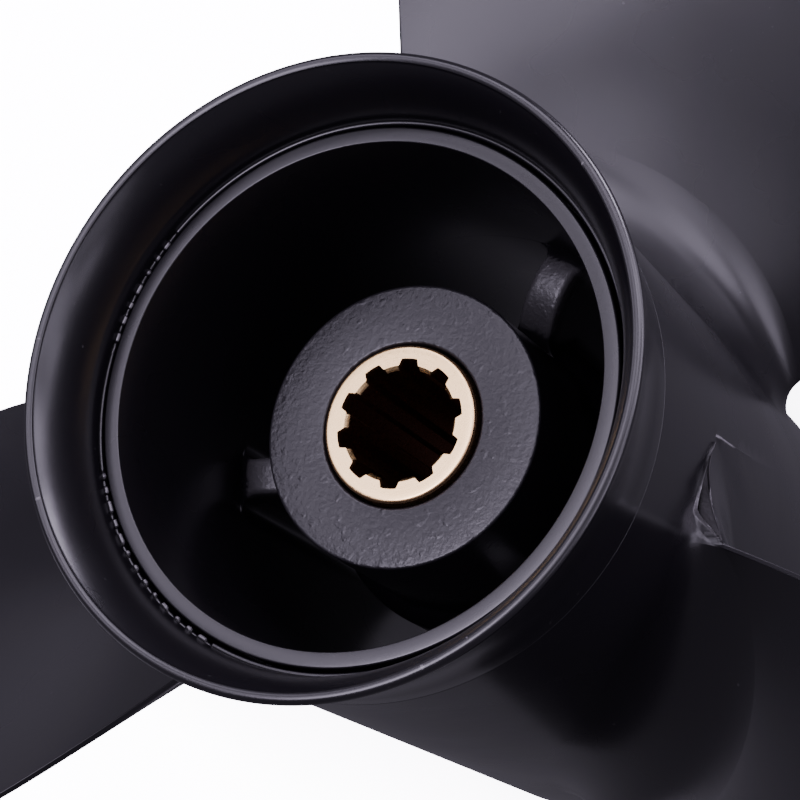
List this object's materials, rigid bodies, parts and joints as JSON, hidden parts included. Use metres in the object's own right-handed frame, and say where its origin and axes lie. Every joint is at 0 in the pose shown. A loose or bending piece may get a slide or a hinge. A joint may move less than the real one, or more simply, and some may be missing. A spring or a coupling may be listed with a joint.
{
  "type": "boat propeller",
  "caption": "Right-hand outboard propeller: raked blades on a through-hub exhaust barrel with a flared diffuser ring and a splined brass sleeve in a rubber bush.",
  "frame": {"origin": "centre of mass of the assembly, on the shaft axis", "axes": "+Z aft along the shaft axis; +X through the point where the first blade's trailing edge leaves the barrel"},
  "size_m": [0.2295, 0.2101, 0.1213],
  "materials": {
    "satin_black_paint": "cast aluminium under satin black enamel, slight orange peel",
    "ring_paint": "turned aluminium under satin black enamel",
    "bush_rubber": "matt moulded rubber",
    "sleeve_brass": "faced and broached brass, lightly rounded edges"
  },
  "bodies": {
    "propeller": {"propeller_casting": "satin_black_paint", "diffuser_ring": "ring_paint"},
    "rubber_bush": {"rubber_bush": "bush_rubber"},
    "spline_sleeve": {"spline_sleeve": "sleeve_brass"}
  },
  "joints": [
    {"name": "hub_slip", "type": "hinge", "parent": "propeller", "child": "rubber_bush", "pos_m": [0, 0, 0], "axis": [0, 0, 1], "continuous": true},
    {"name": "bush_wind_up", "type": "hinge", "parent": "rubber_bush", "child": "spline_sleeve", "pos_m": [0, 0, 0], "axis": [0, 0, 1], "range_deg": [-12, 12]}
  ]
}
